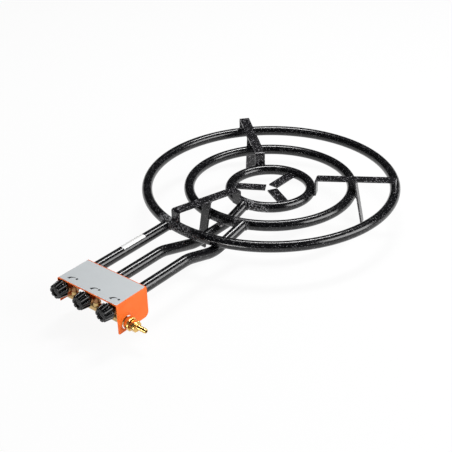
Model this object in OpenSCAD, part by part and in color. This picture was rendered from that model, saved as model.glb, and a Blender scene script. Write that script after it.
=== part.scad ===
// Paella burner: three concentric gas rings on splayed legs, fed by three taps under a folded cover.
// Millimetres, +Z up, floor at z = 0. Lengths along Y are measured from the axis of the rings,
// and the finished part is shifted so that its origin is under the middle of its box.

/* [Rings] */
// Centreline radius of the outer ring
outer_ring_r = 300; // [280:1:330]
// Centreline radius of the middle ring
middle_ring_r = 198; // [185:1:210]
// Centreline radius of the inner ring
inner_ring_r = 98; // [88:1:110]
// Outside diameter of the ring and feed tubes
tube_d = 25; // [22:0.5:27]
// Wall of the ring and feed tubes
tube_wall = 2; // [1.2:0.1:2.5]
// Height of the outer ring's centreline above the floor
outer_ring_z = 82; // [75:1:100]
// How far the middle ring sits below the outer ring
middle_ring_drop = 7; // [4:0.5:9]
// How far the inner ring sits below the outer ring
inner_ring_drop = 15.4; // [11:0.2:18]

/* [Flame ports] */
// Diameter of a flame port
port_d = 2; // [1.5:0.1:3]
// Lean of the ports from the top of the tube, to the inside and the outside in turn
port_lean = 35; // [25:1:45]
// Ports on the outer ring
outer_port_count = 60; // [30:6:90]
// Ports on the middle ring
middle_port_count = 40; // [20:4:60]
// Ports on the inner ring
inner_port_count = 20; // [10:2:30]

/* [Feed tubes] */
// Distance between neighbouring feed tubes
feed_pitch = 66; // [60:1:72]
// Length from the outside of the outer ring to the manifold's axis
handle_len = 275.5; // [255:0.5:310]
// How far the level runs of the feed tubes sit below the outer ring
feed_drop = 3.8; // [1:0.2:6]
// Centreline radius of the tube bends
bend_r = 100; // [80:1:110]
// Length over which the inner ring's feed tube dips
inner_dip_run = 135; // [128:1:142]
// How far inside the outer ring's centreline that dip ends
inner_dip_inset = 30; // [24:1:36]
// Gap between the inner ring's feed tube and the middle ring above it
inner_dip_gap = 3; // [2:0.1:4]
// Length over which the inner ring's feed tube rises again
inner_rise_run = 80; // [75:1:85]
// Length over which the middle ring's feed tube dips
middle_dip_run = 104; // [99:1:110]
// How far inside the outer ring's centreline that dip ends
middle_dip_inset = 1.5; // [0:0.5:4]
// Gap between the middle ring's feed tube and the outer ring above it
middle_dip_gap = 0.5; // [0.4:0.1:1.5]
// Gas inlet through the wall of a ring
ring_inlet_d = 16; // [12:0.5:17]
// Gap that the welds fill where one piece is cut to fit another
weld_gap = 0.1; // [0.05:0.01:0.2]

/* [Pan supports] */
// Width of the flat bar of supports and legs
bar_w = 25; // [20:1:30]
// Thickness of the flat bar of supports and legs
bar_t = 4; // [3:0.5:5]
// Height of the supports above the top of the outer ring
pan_gap = 29; // [25:0.5:40]
// Outside radius of the bends in the bar
bar_bend_r = 6; // [5:0.5:9]
// How far the inner end reaches below the inner ring's centreline
inner_tab_tail = 1.6; // [0:0.2:6]
// How far the top of a support falls towards the inner ring
support_fall = 15.6; // [8:0.2:20]
// Direction of the front support, from +X
front_support_turn = -98; // [-101:0.5:-96]
// Direction of the right support, from +X
right_support_turn = 24; // [18:0.5:26]
// Direction of the rear support, from +X
rear_support_turn = 140.5; // [136:0.5:145]
// Lean of the legs from upright
leg_splay = 11; // [8:0.5:14]

/* [Fins] */
// Width of a fin
fin_w = 25; // [20:1:28]
// Thickness of a fin
fin_t = 4; // [3:0.5:5]
// Distance of a fin's tip from the axis of the rings
fin_tip_r = 11.5; // [10:0.5:30]
// Direction of the right-hand fin, from +X
fin_turn = -30; // [-40:1:-20]

/* [Cover] */
// Distance from an outer tap's axis to the outside of the cover
cover_side = 19; // [18:0.5:24]
// Depth of the cover, front to rear
cover_d = 86; // [80:1:96]
// Height of the cover's right side plate
cover_h = 70; // [69:1:74]
// How much shorter the cover's left side plate is
left_plate_lift = 12; // [8:0.5:12]
// Thickness of the cover's sheet
cover_t = 1.2; // [0.8:0.1:1.5]
// Reach of the cover in front of the manifold's axis
cover_front = 25.5; // [22:0.5:27]
// Gap between the feed tubes and the cover's top plate
cover_top_gap = 2.1; // [1.5:0.1:4]
// Outside radius of the folds
cover_fold_r = 2.4; // [2:0.1:4]
// Radius of the side plates' lower front corners
cover_front_corner_r = 4; // [2:0.5:8]
// Radius of the side plates' lower rear corners
cover_rear_corner_r = 12; // [6:0.5:16]
// Gap between the rear plate's notches and the feed tubes
notch_gap = 0.3; // [0.2:0.1:0.6]
// Gap around the manifold in the right side plate
inlet_hole_gap = 4.6; // [3:0.1:5]
// Margin of the cover's top left clear around the label
label_margin = 2; // [1:0.5:6]
// Thickness of the label
label_t = 0.4; // [0.2:0.1:0.8]

/* [Sticker] */
// Distance from the cover's rear to the sticker on the left feed tube
sticker_gap = 81.5; // [60:0.5:100]
// Length of the sticker
sticker_len = 67; // [40:1:80]
// Angle of the tube that the sticker covers
sticker_span = 100; // [60:1:150]
// Direction of the sticker's middle around the tube, from +X
sticker_turn = 100; // [70:1:120]
// Thickness of the sticker
sticker_t = 0.2; // [0.1:0.05:0.4]

/* [Manifold and inlet] */
// Distance of the manifold's axis below the taps' axis
manifold_drop = 36.2; // [34:0.2:40]
// Outside diameter of the manifold
manifold_d = 20; // [18:0.5:21]
// Bore of the manifold
manifold_bore = 12; // [11.5:0.5:13]
// Diameter of the bosses that carry the taps
boss_d = 17; // [16:0.5:18]
// Height of the bosses above the manifold
boss_h = 4; // [3:0.5:6]
// Reach of the manifold past the right side plate
manifold_stub = 10; // [8:0.5:12]
// Thickness of the end plug's head
plug_head_t = 3; // [2:0.5:5]
// Length of the end plug's spigot
plug_spigot_len = 14; // [12:0.5:16]
// Hexagon of the inlet adapter, across flats
adapter_af = 27; // [25:0.5:28]
// Gap between the cover and the inlet adapter
adapter_gap = 2; // [1:0.5:4]
// Length of the inlet adapter
adapter_len = 12; // [11:0.5:14]
// Thickness of the seal between adapter and nozzle
seal_t = 2; // [1:0.5:3]
// Diameter of the seal
seal_d = 18; // [16:0.5:20]
// Hexagon of the hose nozzle, across flats
nozzle_af = 22; // [20:0.5:24]
// Thickness of the nozzle's hexagon
nozzle_hex_t = 12; // [10:0.5:14]
// Spigot of the nozzle inside the adapter
nozzle_spigot_d = 10; // [9:0.5:11]
// Bore of the nozzle
nozzle_bore = 5.5; // [4:0.5:6]
// Smallest diameter of the hose barb
barb_root_d = 8.8; // [8:0.2:9.4]
// Diameter of the barb's crests
barb_crest_d = 10.8; // [10:0.2:12]
// Length of the barb's plain root
barb_root_len = 3; // [2:0.5:5]
// Length of one barb
barb_len = 7; // [6:0.5:9]
// Length of a barb's crest
barb_crest_len = 2; // [1:0.5:3]
// Number of barbs
barb_count = 3; // [2:1:4]

/* [Cover screw] */
// Diameter of the screw that holds the cover
screw_d = 6; // [5:0.5:7]
// Length of the screw under its head
screw_len = 12; // [10:0.5:13]
// Hexagon of the screw's head, across flats
screw_af = 10; // [9:0.5:12]
// Thickness of the screw's head
screw_head_t = 4; // [3:0.5:5]
// Diameter of the washer
washer_d = 12; // [11:0.5:13]
// Thickness of the washer
washer_t = 1.6; // [1:0.1:2]

/* [Taps] */
// Diameter of a tap's barrel
tap_d = 24; // [22:0.5:26]
// Reach of the barrel in front of the manifold's axis
tap_front = 12; // [11:0.5:13]
// Reach of the barrel behind the manifold's axis
tap_rear = 14; // [12:0.5:15]
// Diameter of the threaded collar that carries the bonnet nut
collar_d = 19; // [18.5:0.5:21]
// Length of the threaded collar
collar_len = 8; // [7:0.5:9]
// Hexagon of the bonnet nut, across flats
bonnet_af = 24; // [23:0.5:27]
// Thickness of the bonnet nut's front wall
bonnet_wall = 4; // [3:0.5:4.5]
// Diameter of a tap's leg
leg_d = 15; // [14:0.5:16]
// Diameter of the spigot under the leg
spigot_d = 10; // [9:0.5:10.5]
// Gas passage in the leg
leg_bore = 5; // [4:0.5:6]
// Diameter of the nose that carries injector and mixer bush
nose_d = 13; // [12:0.5:14]
// Length of the nose
nose_len = 10; // [9:0.5:12]
// Front diameter of the tapered plug
plug_front_d = 15; // [14:0.2:15.4]
// Rear diameter of the tapered plug
plug_rear_d = 12; // [11:0.2:13]
// Reach of the plug in front of the manifold's axis
plug_front = 15; // [14.5:0.1:15.4]
// Reach of the plug behind the manifold's axis
plug_rear = 8; // [7:0.5:9]
// Gas passage in the plug
plug_bore = 5; // [4:0.5:5.5]
// Depth of the stem's socket in the plug
socket_len = 10.5; // [9:0.5:11]
// Diameter of a stem
stem_d = 8; // [7:0.5:9]
// Depth of the flat on a stem
stem_flat = 1.5; // [1:0.1:2]
// Diameter of the stem's collar
stem_collar_d = 12; // [11:0.5:13]
// Thickness of the stem's collar
stem_collar_t = 1.5; // [1:0.1:1.6]
// How far a knob pushes in
push = 3; // [2:0.1:3.1]
// Radial clearance of turning and sliding fits
run_gap = 0.05; // [0.02:0.01:0.1]
// Radial clearance of threads and fixed fits
fix_gap = 0.1; // [0.05:0.01:0.2]
// Diameter of the spring behind a stem
spring_d = 4.8; // [4:0.1:4.9]
// Wire of the spring
spring_wire = 0.7; // [0.5:0.1:1]

/* [Injector and mixer] */
// Spigot of the injector inside the nose
injector_d = 8; // [7:0.5:9]
// Length of the injector's spigot
injector_spigot_len = 6; // [5:0.5:7]
// Hexagon of the injector, across flats
injector_af = 9; // [9:0.5:10]
// Thickness of the injector's hexagon
injector_hex_t = 4; // [3:0.5:5]
// Length of the injector's tip
injector_tip_len = 5; // [4:0.5:6]
// Bore of the injector's jet
jet_d = 1; // [0.6:0.1:1.4]
// Outside diameter of the mixer bush
mixer_d = 22; // [20:0.5:22]
// Wall of the mixer bush's cage
mixer_wall = 2; // [1.5:0.1:2.2]
// Length of the bush's thread on the nose
mixer_grip = 9; // [7:0.5:9]
// Length of the cage with the air windows
mixer_cage_len = 18; // [15:0.5:20]
// Thickness of the flange that meets the feed tube
mixer_flange_t = 2; // [1.5:0.5:3]
// Length of the spigot in the feed tube
mixer_spigot_len = 10; // [8:0.5:14]
// Wall of the spigot in the feed tube
mixer_spigot_wall = 1.4; // [1:0.1:2]
// Width of an air window
window_w = 8; // [6:0.5:9]
// Solid length left at each end of the windows
window_margin = 3; // [2:0.5:4]

/* [Knobs] */
// Diameter over a knob's lobes at the rear
knob_d = 38.5; // [36:0.5:42]
// Diameter over a knob's lobes at the front
knob_front_d = 32; // [30:0.5:35]
// Depth of a knob
knob_len = 22; // [20:0.5:24]
// Gap between a bonnet nut and a knob
knob_gap = 6; // [5:0.5:8]
// Number of lobes
lobe_count = 8; // [6:1:10]
// Radius of a lobe
lobe_r = 4.6; // [4:0.2:5]
// Diameter of a knob's core between the lobes
knob_core_d = 27.5; // [26:0.5:30]
// Diameter of the dish in a knob's front
dish_d = 20; // [16:0.5:22]
// Depth of the dish
dish_depth = 2.5; // [1.5:0.1:3]
// Depth of the stem's hole in a knob
knob_hole_len = 17; // [15:0.5:18]

/* [Hidden] */
$fn = 96;
SIDES = ["left", "centre", "right"];
TAP_PIECES = ["valve_body", "valve_plug", "valve_stem", "valve_spring", "bonnet_nut", "gas_injector",
    "mixer_bush", "knob"];
ARMS = ["front", "right", "rear"];
FINS = ["right", "rear", "left"];

// How far cuts run past the faces that they open
overrun = 1;
// How far a straight length of tube or bar laps into a bend, and how much the bend is swollen
lap = 1;
lap_step = 0.1;
// Turn between the three fins
third_turn = 120;
// Turn of a port's seam out of the radial plane
port_seam_turn = 45;

// Finishes
enamel = [0.07, 0.07, 0.08];
orange = [0.93, 0.42, 0.15];
brass = [0.83, 0.65, 0.3];
steel = [0.7, 0.7, 0.72];
plastic = [0.09, 0.09, 0.1];
paper = [0.95, 0.95, 0.94];
silver_grey = [0.78, 0.8, 0.83];
fibre = [0.45, 0.2, 0.16];

// Tubes and rings
tube_r = tube_d / 2;
tube_bore_r = tube_r - tube_wall;
cope_r = tube_r + weld_gap;
middle_ring_z = outer_ring_z - middle_ring_drop;
inner_ring_z = outer_ring_z - inner_ring_drop;
feed_z = outer_ring_z - feed_drop;
inner_low_z = middle_ring_z - tube_d - inner_dip_gap;
inner_low_y = inner_dip_inset - outer_ring_r;
inner_rise_y = -inner_ring_r - inner_rise_run;
middle_low_z = outer_ring_z - tube_d - middle_dip_gap;

// Taps, from the manifold's axis
tap_y = -outer_ring_r - tube_r - handle_len;
collar_front = tap_front + collar_len;
bonnet_front = collar_front + bonnet_wall;
knob_rear = bonnet_front + knob_gap;
knob_front = knob_rear + knob_len;
nose_end = tap_rear + nose_len;
cage_start = tap_rear + fix_gap + mixer_grip;
tube_end = cage_start + mixer_cage_len + mixer_flange_t;
manifold_z = feed_z - manifold_drop;
boss_top_z = manifold_z + manifold_d / 2 + boss_h;
origin_shift = (handle_len + knob_front) / 2;

// Cover
cover_w = 2 * (feed_pitch + cover_side);
cover_top_z = feed_z + tube_r + cover_top_gap + cover_t;
cover_bottom_z = cover_top_z - cover_h;
cover_front_y = tap_y - cover_front;
cover_rear_y = cover_front_y + cover_d;

// Supports
pan_z = outer_ring_z + tube_r + pan_gap;
SUPPORT_TURNS = [front_support_turn, right_support_turn, rear_support_turn];
inner_tab_r = inner_ring_r + tube_r + weld_gap;
outer_tab_r = outer_ring_r + bar_t / 2;
inner_bend_r = inner_tab_r + bar_bend_r;
outer_bend_r = outer_tab_r - bar_bend_r;
outer_bend_z = pan_z - bar_bend_r - lap_step;
inner_bend_z = outer_bend_z - support_fall;
support_span = norm([outer_bend_r - inner_bend_r, support_fall]);
support_slope = atan2(support_fall, outer_bend_r - inner_bend_r);

// Inlet
adapter_x = cover_w / 2 + adapter_gap;
nozzle_x = adapter_x + adapter_len + seal_t;
barb_x = nozzle_x + nozzle_hex_t;
manifold_left_x = cover_t + plug_head_t - cover_w / 2;
manifold_right_x = cover_w / 2 + manifold_stub;

// Corner radius of a hexagon of the given size across flats
function hex_r(flats) = flats / 2 / cos(30);

// Y of the ring's centreline where a feed tube at the given x meets it
function ring_y(ring_r, x) = -sqrt(ring_r * ring_r - x * x);

// Turn of two equal and opposite bends that drop a tube over a run
function dip_turn(run, drop) =
    atan2(run, 2 * bend_r - drop) - acos(2 * bend_r / norm([run, 2 * bend_r - drop]));

// Turn of one bend that aims a tube at a point further along and higher up
function rise_turn(run, rise) =
    atan2(run, bend_r - rise) - acos(bend_r / norm([run, bend_r - rise]));

// End of the middle ring's dip, and the slopes at which the feed tubes reach the two rings
middle_low_y = ring_y(outer_ring_r, feed_pitch) + middle_dip_inset;
inner_rise = rise_turn(inner_rise_run, inner_ring_z - inner_low_z);
middle_rise = rise_turn(ring_y(middle_ring_r, feed_pitch) - middle_low_y, middle_ring_z - middle_low_z);

// Moves a piece from the rings' axis to the part's own origin
module in_frame() translate([0, origin_shift, 0]) children();

// Places a piece on a tap's axis, with +Y towards the rings and the manifold's axis at zero
module at_tap(i) in_frame() translate([(i - 1) * feed_pitch, tap_y, feed_z]) children();

// Round bar along +Y between two places on a tap's axis
module along_y(from, to, r) translate([0, from, 0]) rotate([-90, 0, 0]) cylinder(h = to - from, r = r);

// Tapered round bar along +Y
module taper_y(from, to, r_from, r_to)
    translate([0, from, 0]) rotate([-90, 0, 0]) cylinder(h = to - from, r1 = r_from, r2 = r_to);

// Hexagon bar along +Y
module hex_y(from, to, flats)
    translate([0, from, 0]) rotate([-90, 0, 0]) cylinder(h = to - from, r = hex_r(flats), $fn = 6);

// Round bar along +X between two places
module along_x(from, to, r) translate([from, 0, 0]) rotate([0, 90, 0]) cylinder(h = to - from, r = r);

// Hexagon bar along +X
module hex_x(from, to, flats)
    translate([from, 0, 0]) rotate([0, 90, 0]) cylinder(h = to - from, r = hex_r(flats), $fn = 6);

// Round bar along +Y with one side cut flat
module flatted_y(from, to, r, flat)
    translate([0, from, 0]) rotate([-90, 0, 0]) linear_extrude(to - from) difference() {
        circle(r);
        translate([-r, flat - 2 * r]) square([2 * r, r]);
    }

// Solid ring, which cuts other pieces to fit a ring
module torus(ring_r, r) rotate_extrude() translate([ring_r, 0]) circle(r);

// Straight length of round bar along +Y, which laps into the bends at its ends
module straight(len, r, lap_from = 0, lap_to = 0) along_y(-lap_from, len + lap_to, r);

// Bend of round bar, swollen a little by the bending, that starts along +Y and turns upwards
module bend_up(turn, r)
    translate([0, 0, bend_r]) rotate([0, 90, 0]) rotate_extrude(angle = turn)
        translate([bend_r, 0]) circle(r + lap_step);

// Bend of round bar that starts along +Y and turns downwards
module bend_down(turn, r) mirror([0, 0, 1]) bend_up(turn, r);

// Place and heading along a feed tube
module heading(y, z, turn) translate([0, y, z]) rotate([turn, 0, 0]) children();

// Level run of a feed tube and the dip to its lowest place, as a round bar that ends level or rising
module dipped_run(r, mouth, run, low_y, low_z, rise) {
    run_start = tap_y + tube_end;
    dip_start = low_y - run;
    turn = dip_turn(run, feed_z - low_z);
    slope_len = (run - 2 * bend_r * sin(turn)) / cos(turn);
    slope_y = dip_start + bend_r * sin(turn);
    slope_z = feed_z - bend_r * (1 - cos(turn));
    heading(run_start, feed_z, 0) straight(dip_start - run_start, r, mouth, lap);
    heading(dip_start, feed_z, 0) bend_down(turn, r);
    heading(slope_y, slope_z, -turn) straight(slope_len, r, lap, lap);
    heading(slope_y + slope_len * cos(turn), slope_z - slope_len * sin(turn), -turn) bend_up(turn + rise, r);
}

// Slope from the end of a rising bend to a ring's centreline, as a round bar
module rising_slope(r, low_y, low_z, to, turn) {
    slope_len = (to - low_y - bend_r * sin(turn)) / cos(turn);
    heading(low_y + bend_r * sin(turn), low_z + bend_r * (1 - cos(turn)), turn) straight(slope_len, r, lap);
}

// Last slope of the inner ring's feed tube, as a round bar
module inner_slope(r) rising_slope(r, inner_rise_y, inner_low_z, -inner_ring_r, inner_rise);

// Route of the inner ring's feed tube, as a round bar
module inner_route(r, mouth) {
    dipped_run(r, mouth, inner_dip_run, inner_low_y, inner_low_z, 0);
    heading(inner_low_y, inner_low_z, 0) straight(inner_rise_y - inner_low_y, r, lap, lap);
    heading(inner_rise_y, inner_low_z, 0) bend_up(inner_rise, r);
    inner_slope(r);
}

// Route of the middle ring's feed tube, as a round bar
module middle_route(r, mouth) translate([feed_pitch, 0, 0]) {
    dipped_run(r, mouth, middle_dip_run, middle_low_y, middle_low_z, middle_rise);
    rising_slope(r, middle_low_y, middle_low_z, ring_y(middle_ring_r, feed_pitch), middle_rise);
}

// Gas inlet cut through a ring's outer wall, in line with the end of its feed tube
module ring_inlet(x, ring_r, ring_z, turn)
    translate([x, 0, 0]) heading(ring_y(ring_r, x), ring_z, turn) along_y(-tube_d, 0, ring_inlet_d / 2);

// Flame ports, leaning to the inside and the outside of a ring in turn
module flame_ports(ring_r, count)
    for (k = [0:count - 1])
        rotate((k + 1 / 2) * 360 / count) translate([ring_r, 0, 0])
            rotate([0, k % 2 == 0 ? port_lean : -port_lean, 0])
                rotate(port_seam_turn) cylinder(h = tube_r + overrun, d = port_d);

// One hollow ring with its ports
module ring_burner(ring_r, ring_z, count) translate([0, 0, ring_z]) difference() {
    rotate_extrude() translate([ring_r, 0]) difference() {
        circle(tube_r);
        circle(tube_bore_r);
    }
    flame_ports(ring_r, count);
}

// Outer ring, fed level from the left
module outer_ring() in_frame() color(enamel) difference() {
    ring_burner(outer_ring_r, outer_ring_z, outer_port_count);
    ring_inlet(-feed_pitch, outer_ring_r, feed_z, 0);
}

// Middle ring, fed from below on the right
module middle_ring() in_frame() color(enamel) difference() {
    ring_burner(middle_ring_r, middle_ring_z, middle_port_count);
    ring_inlet(feed_pitch, middle_ring_r, middle_ring_z, middle_rise);
}

// Inner ring, fed from below at the centre
module inner_ring() in_frame() color(enamel) difference() {
    ring_burner(inner_ring_r, inner_ring_z, inner_port_count);
    ring_inlet(0, inner_ring_r, inner_ring_z, inner_rise);
}

// Straight feed tube on the left, cut to fit the outer ring
module outer_ring_feed() in_frame() color(enamel) difference() {
    run_start = tap_y + tube_end;
    run_len = ring_y(outer_ring_r, feed_pitch) - run_start;
    translate([-feed_pitch, 0, 0]) heading(run_start, feed_z, 0) difference() {
        straight(run_len, tube_r);
        straight(run_len, tube_bore_r, overrun, overrun);
    }
    translate([0, 0, outer_ring_z]) torus(outer_ring_r, cope_r);
}

// Feed tube at the centre, which dips under two rings
module inner_ring_feed() in_frame() color(enamel) difference() {
    inner_route(tube_r, 0);
    inner_route(tube_bore_r, overrun);
    translate([0, 0, inner_ring_z]) torus(inner_ring_r, cope_r);
}

// Feed tube on the right, which dips under one ring
module middle_ring_feed() in_frame() color(enamel) difference() {
    middle_route(tube_r, 0);
    middle_route(tube_bore_r, overrun);
    translate([0, 0, middle_ring_z]) torus(middle_ring_r, cope_r);
}

// Extrudes a side view, drawn with distance from the rings' axis and height, to a bar's width
module bar_along(turn, width) rotate(turn) rotate([90, 0, 0]) linear_extrude(width, center = true) children();

// Bend in flat bar about the origin, between two directions, swollen a little by the bending
module bar_bend(from, to) intersection() {
    difference() {
        circle(bar_bend_r + lap_step);
        circle(bar_bend_r - bar_t - lap_step);
    }
    polygon([[0, 0], for (turn = [from, (from + to) / 2, to]) 2 * bar_bend_r * [cos(turn), sin(turn)]]);
}

// Side view of a support: a top that falls inwards, with both ends bent down
module support_side() {
    inner_end_z = inner_ring_z - inner_tab_tail;
    translate([inner_tab_r, inner_end_z]) square([bar_t, inner_bend_z - inner_end_z + lap]);
    translate([outer_tab_r - bar_t, outer_ring_z]) square([bar_t, outer_bend_z - outer_ring_z + lap]);
    translate([inner_bend_r, inner_bend_z]) {
        bar_bend(90 + support_slope, 180);
        rotate(support_slope) translate([-lap, bar_bend_r - bar_t]) square([support_span + 2 * lap, bar_t]);
    }
    translate([outer_bend_r, outer_bend_z]) bar_bend(0, 90 + support_slope);
}

// Pan support, cut to sit on the outer ring and to clear the inner ring's feed tube
module pan_support(i) in_frame() color(enamel) difference() {
    bar_along(SUPPORT_TURNS[i], bar_w) support_side();
    translate([0, 0, outer_ring_z]) torus(outer_ring_r, cope_r);
    inner_slope(cope_r);
}

// Height of a bar's underside at a distance from the rings' axis
function bar_under(r) =
    inner_bend_z + (bar_bend_r - bar_t) / cos(support_slope) + (r - inner_bend_r) * tan(support_slope);

// Where a leg's face that leaves the floor at a distance from the rings' axis meets the bar
function leg_top(foot_r) =
    let (z = (bar_under(foot_r) - weld_gap) / (1 + tan(leg_splay) * tan(support_slope)))
    [foot_r - z * tan(leg_splay), z];

// Leg that leans against the outside of the middle ring, from the support's bar to the floor
module leg(i) in_frame() color(enamel) {
    foot_r = middle_ring_r + cope_r / cos(leg_splay) + middle_ring_z * tan(leg_splay);
    level_t = bar_t / cos(leg_splay);
    bar_along(SUPPORT_TURNS[i], bar_w)
        polygon([[foot_r, 0], [foot_r + level_t, 0], leg_top(foot_r + level_t), leg_top(foot_r)]);
}

// Fin inside the inner ring, cut to fit it
module fin(i) in_frame() color(enamel) difference() {
    translate([0, 0, inner_ring_z]) rotate(fin_turn + i * third_turn)
        translate([fin_tip_r, -fin_w / 2, -fin_t / 2]) cube([inner_ring_r - fin_tip_r, fin_w, fin_t]);
    translate([0, 0, inner_ring_z]) torus(inner_ring_r, cope_r);
}

// Front view of the cover's sheet: a top with two sides folded down
module cover_arch(w, top, fold_r) {
    translate([-w / 2, cover_bottom_z]) square([w, top - fold_r - cover_bottom_z]);
    translate([fold_r - w / 2, cover_bottom_z]) square([w - 2 * fold_r, top - cover_bottom_z]);
    for (side = [-1, 1]) translate([side * (w / 2 - fold_r), top - fold_r]) circle(fold_r);
}

// Side view of the cover, with rounded lower corners
module cover_side_view() difference() {
    translate([cover_front_y, cover_bottom_z]) square([cover_d, cover_h]);
    translate([cover_front_y, cover_bottom_z]) corner_waste(cover_front_corner_r);
    translate([cover_rear_y, cover_bottom_z]) mirror([1, 0]) corner_waste(cover_rear_corner_r);
}

// Waste outside a rounded lower corner
module corner_waste(r) difference() {
    translate([-overrun, -overrun]) square(r + overrun);
    translate([r, r]) circle(r);
}

// Rear plate of the cover, notched to drop over the feed tubes
module cover_rear_plate() {
    notch_r = tube_r + notch_gap;
    difference() {
        translate([-cover_w / 2 + cover_t, cover_rear_y - cover_t, cover_bottom_z])
            cube([cover_w - 2 * cover_t, cover_t, cover_h - cover_t]);
        for (i = [-1:1]) translate([i * feed_pitch, cover_rear_y, 0]) {
            translate([0, 0, feed_z]) along_y(-cover_t - overrun, overrun, notch_r);
            translate([-notch_r, -cover_t - overrun, cover_bottom_z - overrun])
                cube([2 * notch_r, cover_t + 2 * overrun, feed_z - cover_bottom_z + overrun]);
        }
    }
}

// Folded sheet cover over the taps, open at the front and at the bottom
module control_cover() in_frame() color(orange) difference() {
    intersection() {
        union() {
            translate([0, cover_rear_y, 0]) rotate([90, 0, 0]) linear_extrude(cover_d) difference() {
                cover_arch(cover_w, cover_top_z, cover_fold_r);
                translate([0, -overrun]) cover_arch(cover_w - 2 * cover_t, cover_bottom_z + overrun, 0);
                cover_arch(cover_w - 2 * cover_t, cover_top_z - cover_t, cover_fold_r - cover_t);
            }
            cover_rear_plate();
        }
        rotate([90, 0, 90]) linear_extrude(cover_w, center = true) cover_side_view();
    }
    translate([0, tap_y, manifold_z]) {
        along_x(0, cover_w / 2 + overrun, manifold_d / 2 + inlet_hole_gap);
        along_x(-cover_w / 2 - overrun, 0, screw_d / 2 + notch_gap);
    }
    translate([-cover_w / 2 - overrun, cover_front_y - overrun, cover_bottom_z - overrun])
        cube([cover_side + overrun, cover_d + 2 * overrun, left_plate_lift + overrun]);
}

// Label on the cover's top
module cover_label() in_frame() color(silver_grey)
    translate([label_margin - cover_w / 2, cover_front_y + label_margin, cover_top_z])
        cube([cover_w - 2 * label_margin, cover_d - 2 * label_margin, label_t]);

// Sticker wrapped over the left feed tube
module tube_sticker() in_frame() color(paper)
    translate([-feed_pitch, cover_rear_y + sticker_gap + sticker_len, feed_z]) rotate([90, 0, 0])
        rotate(sticker_turn - sticker_span / 2) rotate_extrude(angle = sticker_span)
            translate([tube_r + run_gap, 0]) square([sticker_t, sticker_len]);

// Places a piece on the manifold's axis
module on_manifold() in_frame() translate([0, tap_y, manifold_z]) children();

// Manifold with a boss under each tap
module gas_manifold() on_manifold() color(brass) difference() {
    union() {
        along_x(manifold_left_x, manifold_right_x, manifold_d / 2);
        for (i = [-1:1]) translate([i * feed_pitch, 0, 0]) cylinder(h = boss_top_z - manifold_z, d = boss_d);
    }
    along_x(manifold_left_x - overrun, manifold_right_x + overrun, manifold_bore / 2);
    for (i = [-1:1]) translate([i * feed_pitch, 0, 0])
        cylinder(h = boss_top_z - manifold_z + overrun, r = spigot_d / 2 + fix_gap);
}

// Plug in the manifold's closed end, tapped for the cover's screw
module manifold_end_plug() on_manifold() color(brass) difference() {
    union() {
        along_x(manifold_left_x - plug_head_t, manifold_left_x, manifold_d / 2);
        along_x(manifold_left_x, manifold_left_x + plug_spigot_len, manifold_bore / 2 - fix_gap);
    }
    along_x(manifold_left_x - plug_head_t - overrun, screw_len - cover_w / 2, screw_d / 2 + fix_gap);
}

// Washer under the cover's screw
module cover_washer() on_manifold() color(steel) difference() {
    along_x(-cover_w / 2 - washer_t, -cover_w / 2, washer_d / 2);
    along_x(-cover_w / 2 - washer_t - overrun, overrun - cover_w / 2, screw_d / 2 + notch_gap);
}

// Screw that holds the cover to the manifold's end plug
module cover_screw() on_manifold() color(steel) {
    head_x = -cover_w / 2 - washer_t;
    hex_x(head_x - screw_head_t, head_x, screw_af);
    along_x(head_x, head_x + screw_len, screw_d / 2);
}

// Adapter on the manifold's open end
module inlet_adapter() on_manifold() color(brass) difference() {
    hex_x(adapter_x, adapter_x + adapter_len, adapter_af);
    along_x(adapter_x - overrun, manifold_right_x, manifold_d / 2 + fix_gap);
    along_x(adapter_x, adapter_x + adapter_len + overrun, nozzle_spigot_d / 2 + fix_gap);
}

// Seal between adapter and nozzle
module nozzle_seal() on_manifold() color(fibre) difference() {
    along_x(nozzle_x - seal_t, nozzle_x, seal_d / 2);
    along_x(nozzle_x - seal_t - overrun, nozzle_x + overrun, nozzle_spigot_d / 2 + fix_gap);
}

// Nozzle with a barbed tail for the gas hose
module hose_nozzle() on_manifold() color(brass) {
    tip_x = barb_x + barb_root_len + barb_count * barb_len;
    difference() {
        union() {
            along_x(manifold_right_x, nozzle_x, nozzle_spigot_d / 2);
            hex_x(nozzle_x, barb_x, nozzle_af);
            along_x(barb_x, tip_x, barb_root_d / 2);
            for (k = [0:barb_count - 1]) translate([barb_x + barb_root_len + k * barb_len, 0, 0]) {
                along_x(0, barb_crest_len, barb_crest_d / 2);
                translate([barb_crest_len, 0, 0]) rotate([0, 90, 0])
                    cylinder(h = barb_len - barb_crest_len, d1 = barb_crest_d, d2 = barb_root_d);
            }
        }
        along_x(manifold_right_x - overrun, tip_x + overrun, nozzle_bore / 2);
    }
}

// Tap body: barrel with a tapered seat, leg to the manifold, front collar and rear nose
module valve_body(i) at_tap(i) color(brass) difference() {
    union() {
        along_y(-tap_front, tap_rear, tap_d / 2);
        along_y(-collar_front, -tap_front, collar_d / 2);
        along_y(tap_rear, nose_end, nose_d / 2);
        translate([0, 0, boss_top_z - feed_z]) cylinder(h = feed_z - boss_top_z, d = leg_d);
        translate([0, 0, -manifold_drop]) cylinder(h = manifold_drop, d = spigot_d);
    }
    translate([0, 0, -manifold_drop - overrun]) cylinder(h = manifold_drop + overrun, d = leg_bore);
    translate([0, 0, -manifold_drop]) along_x(-leg_d, leg_d, manifold_bore / 2);
    taper_y(-plug_front, plug_rear, plug_front_d / 2 + run_gap, plug_rear_d / 2 + run_gap);
    along_y(plug_rear, plug_rear + run_gap, plug_rear_d / 2 + run_gap);
    along_y(-collar_front - overrun, -plug_front, plug_front_d / 2 + run_gap);
    along_y(0, nose_end, plug_bore / 2);
    along_y(nose_end - injector_spigot_len - fix_gap, nose_end + overrun, injector_d / 2 + fix_gap);
}

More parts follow.
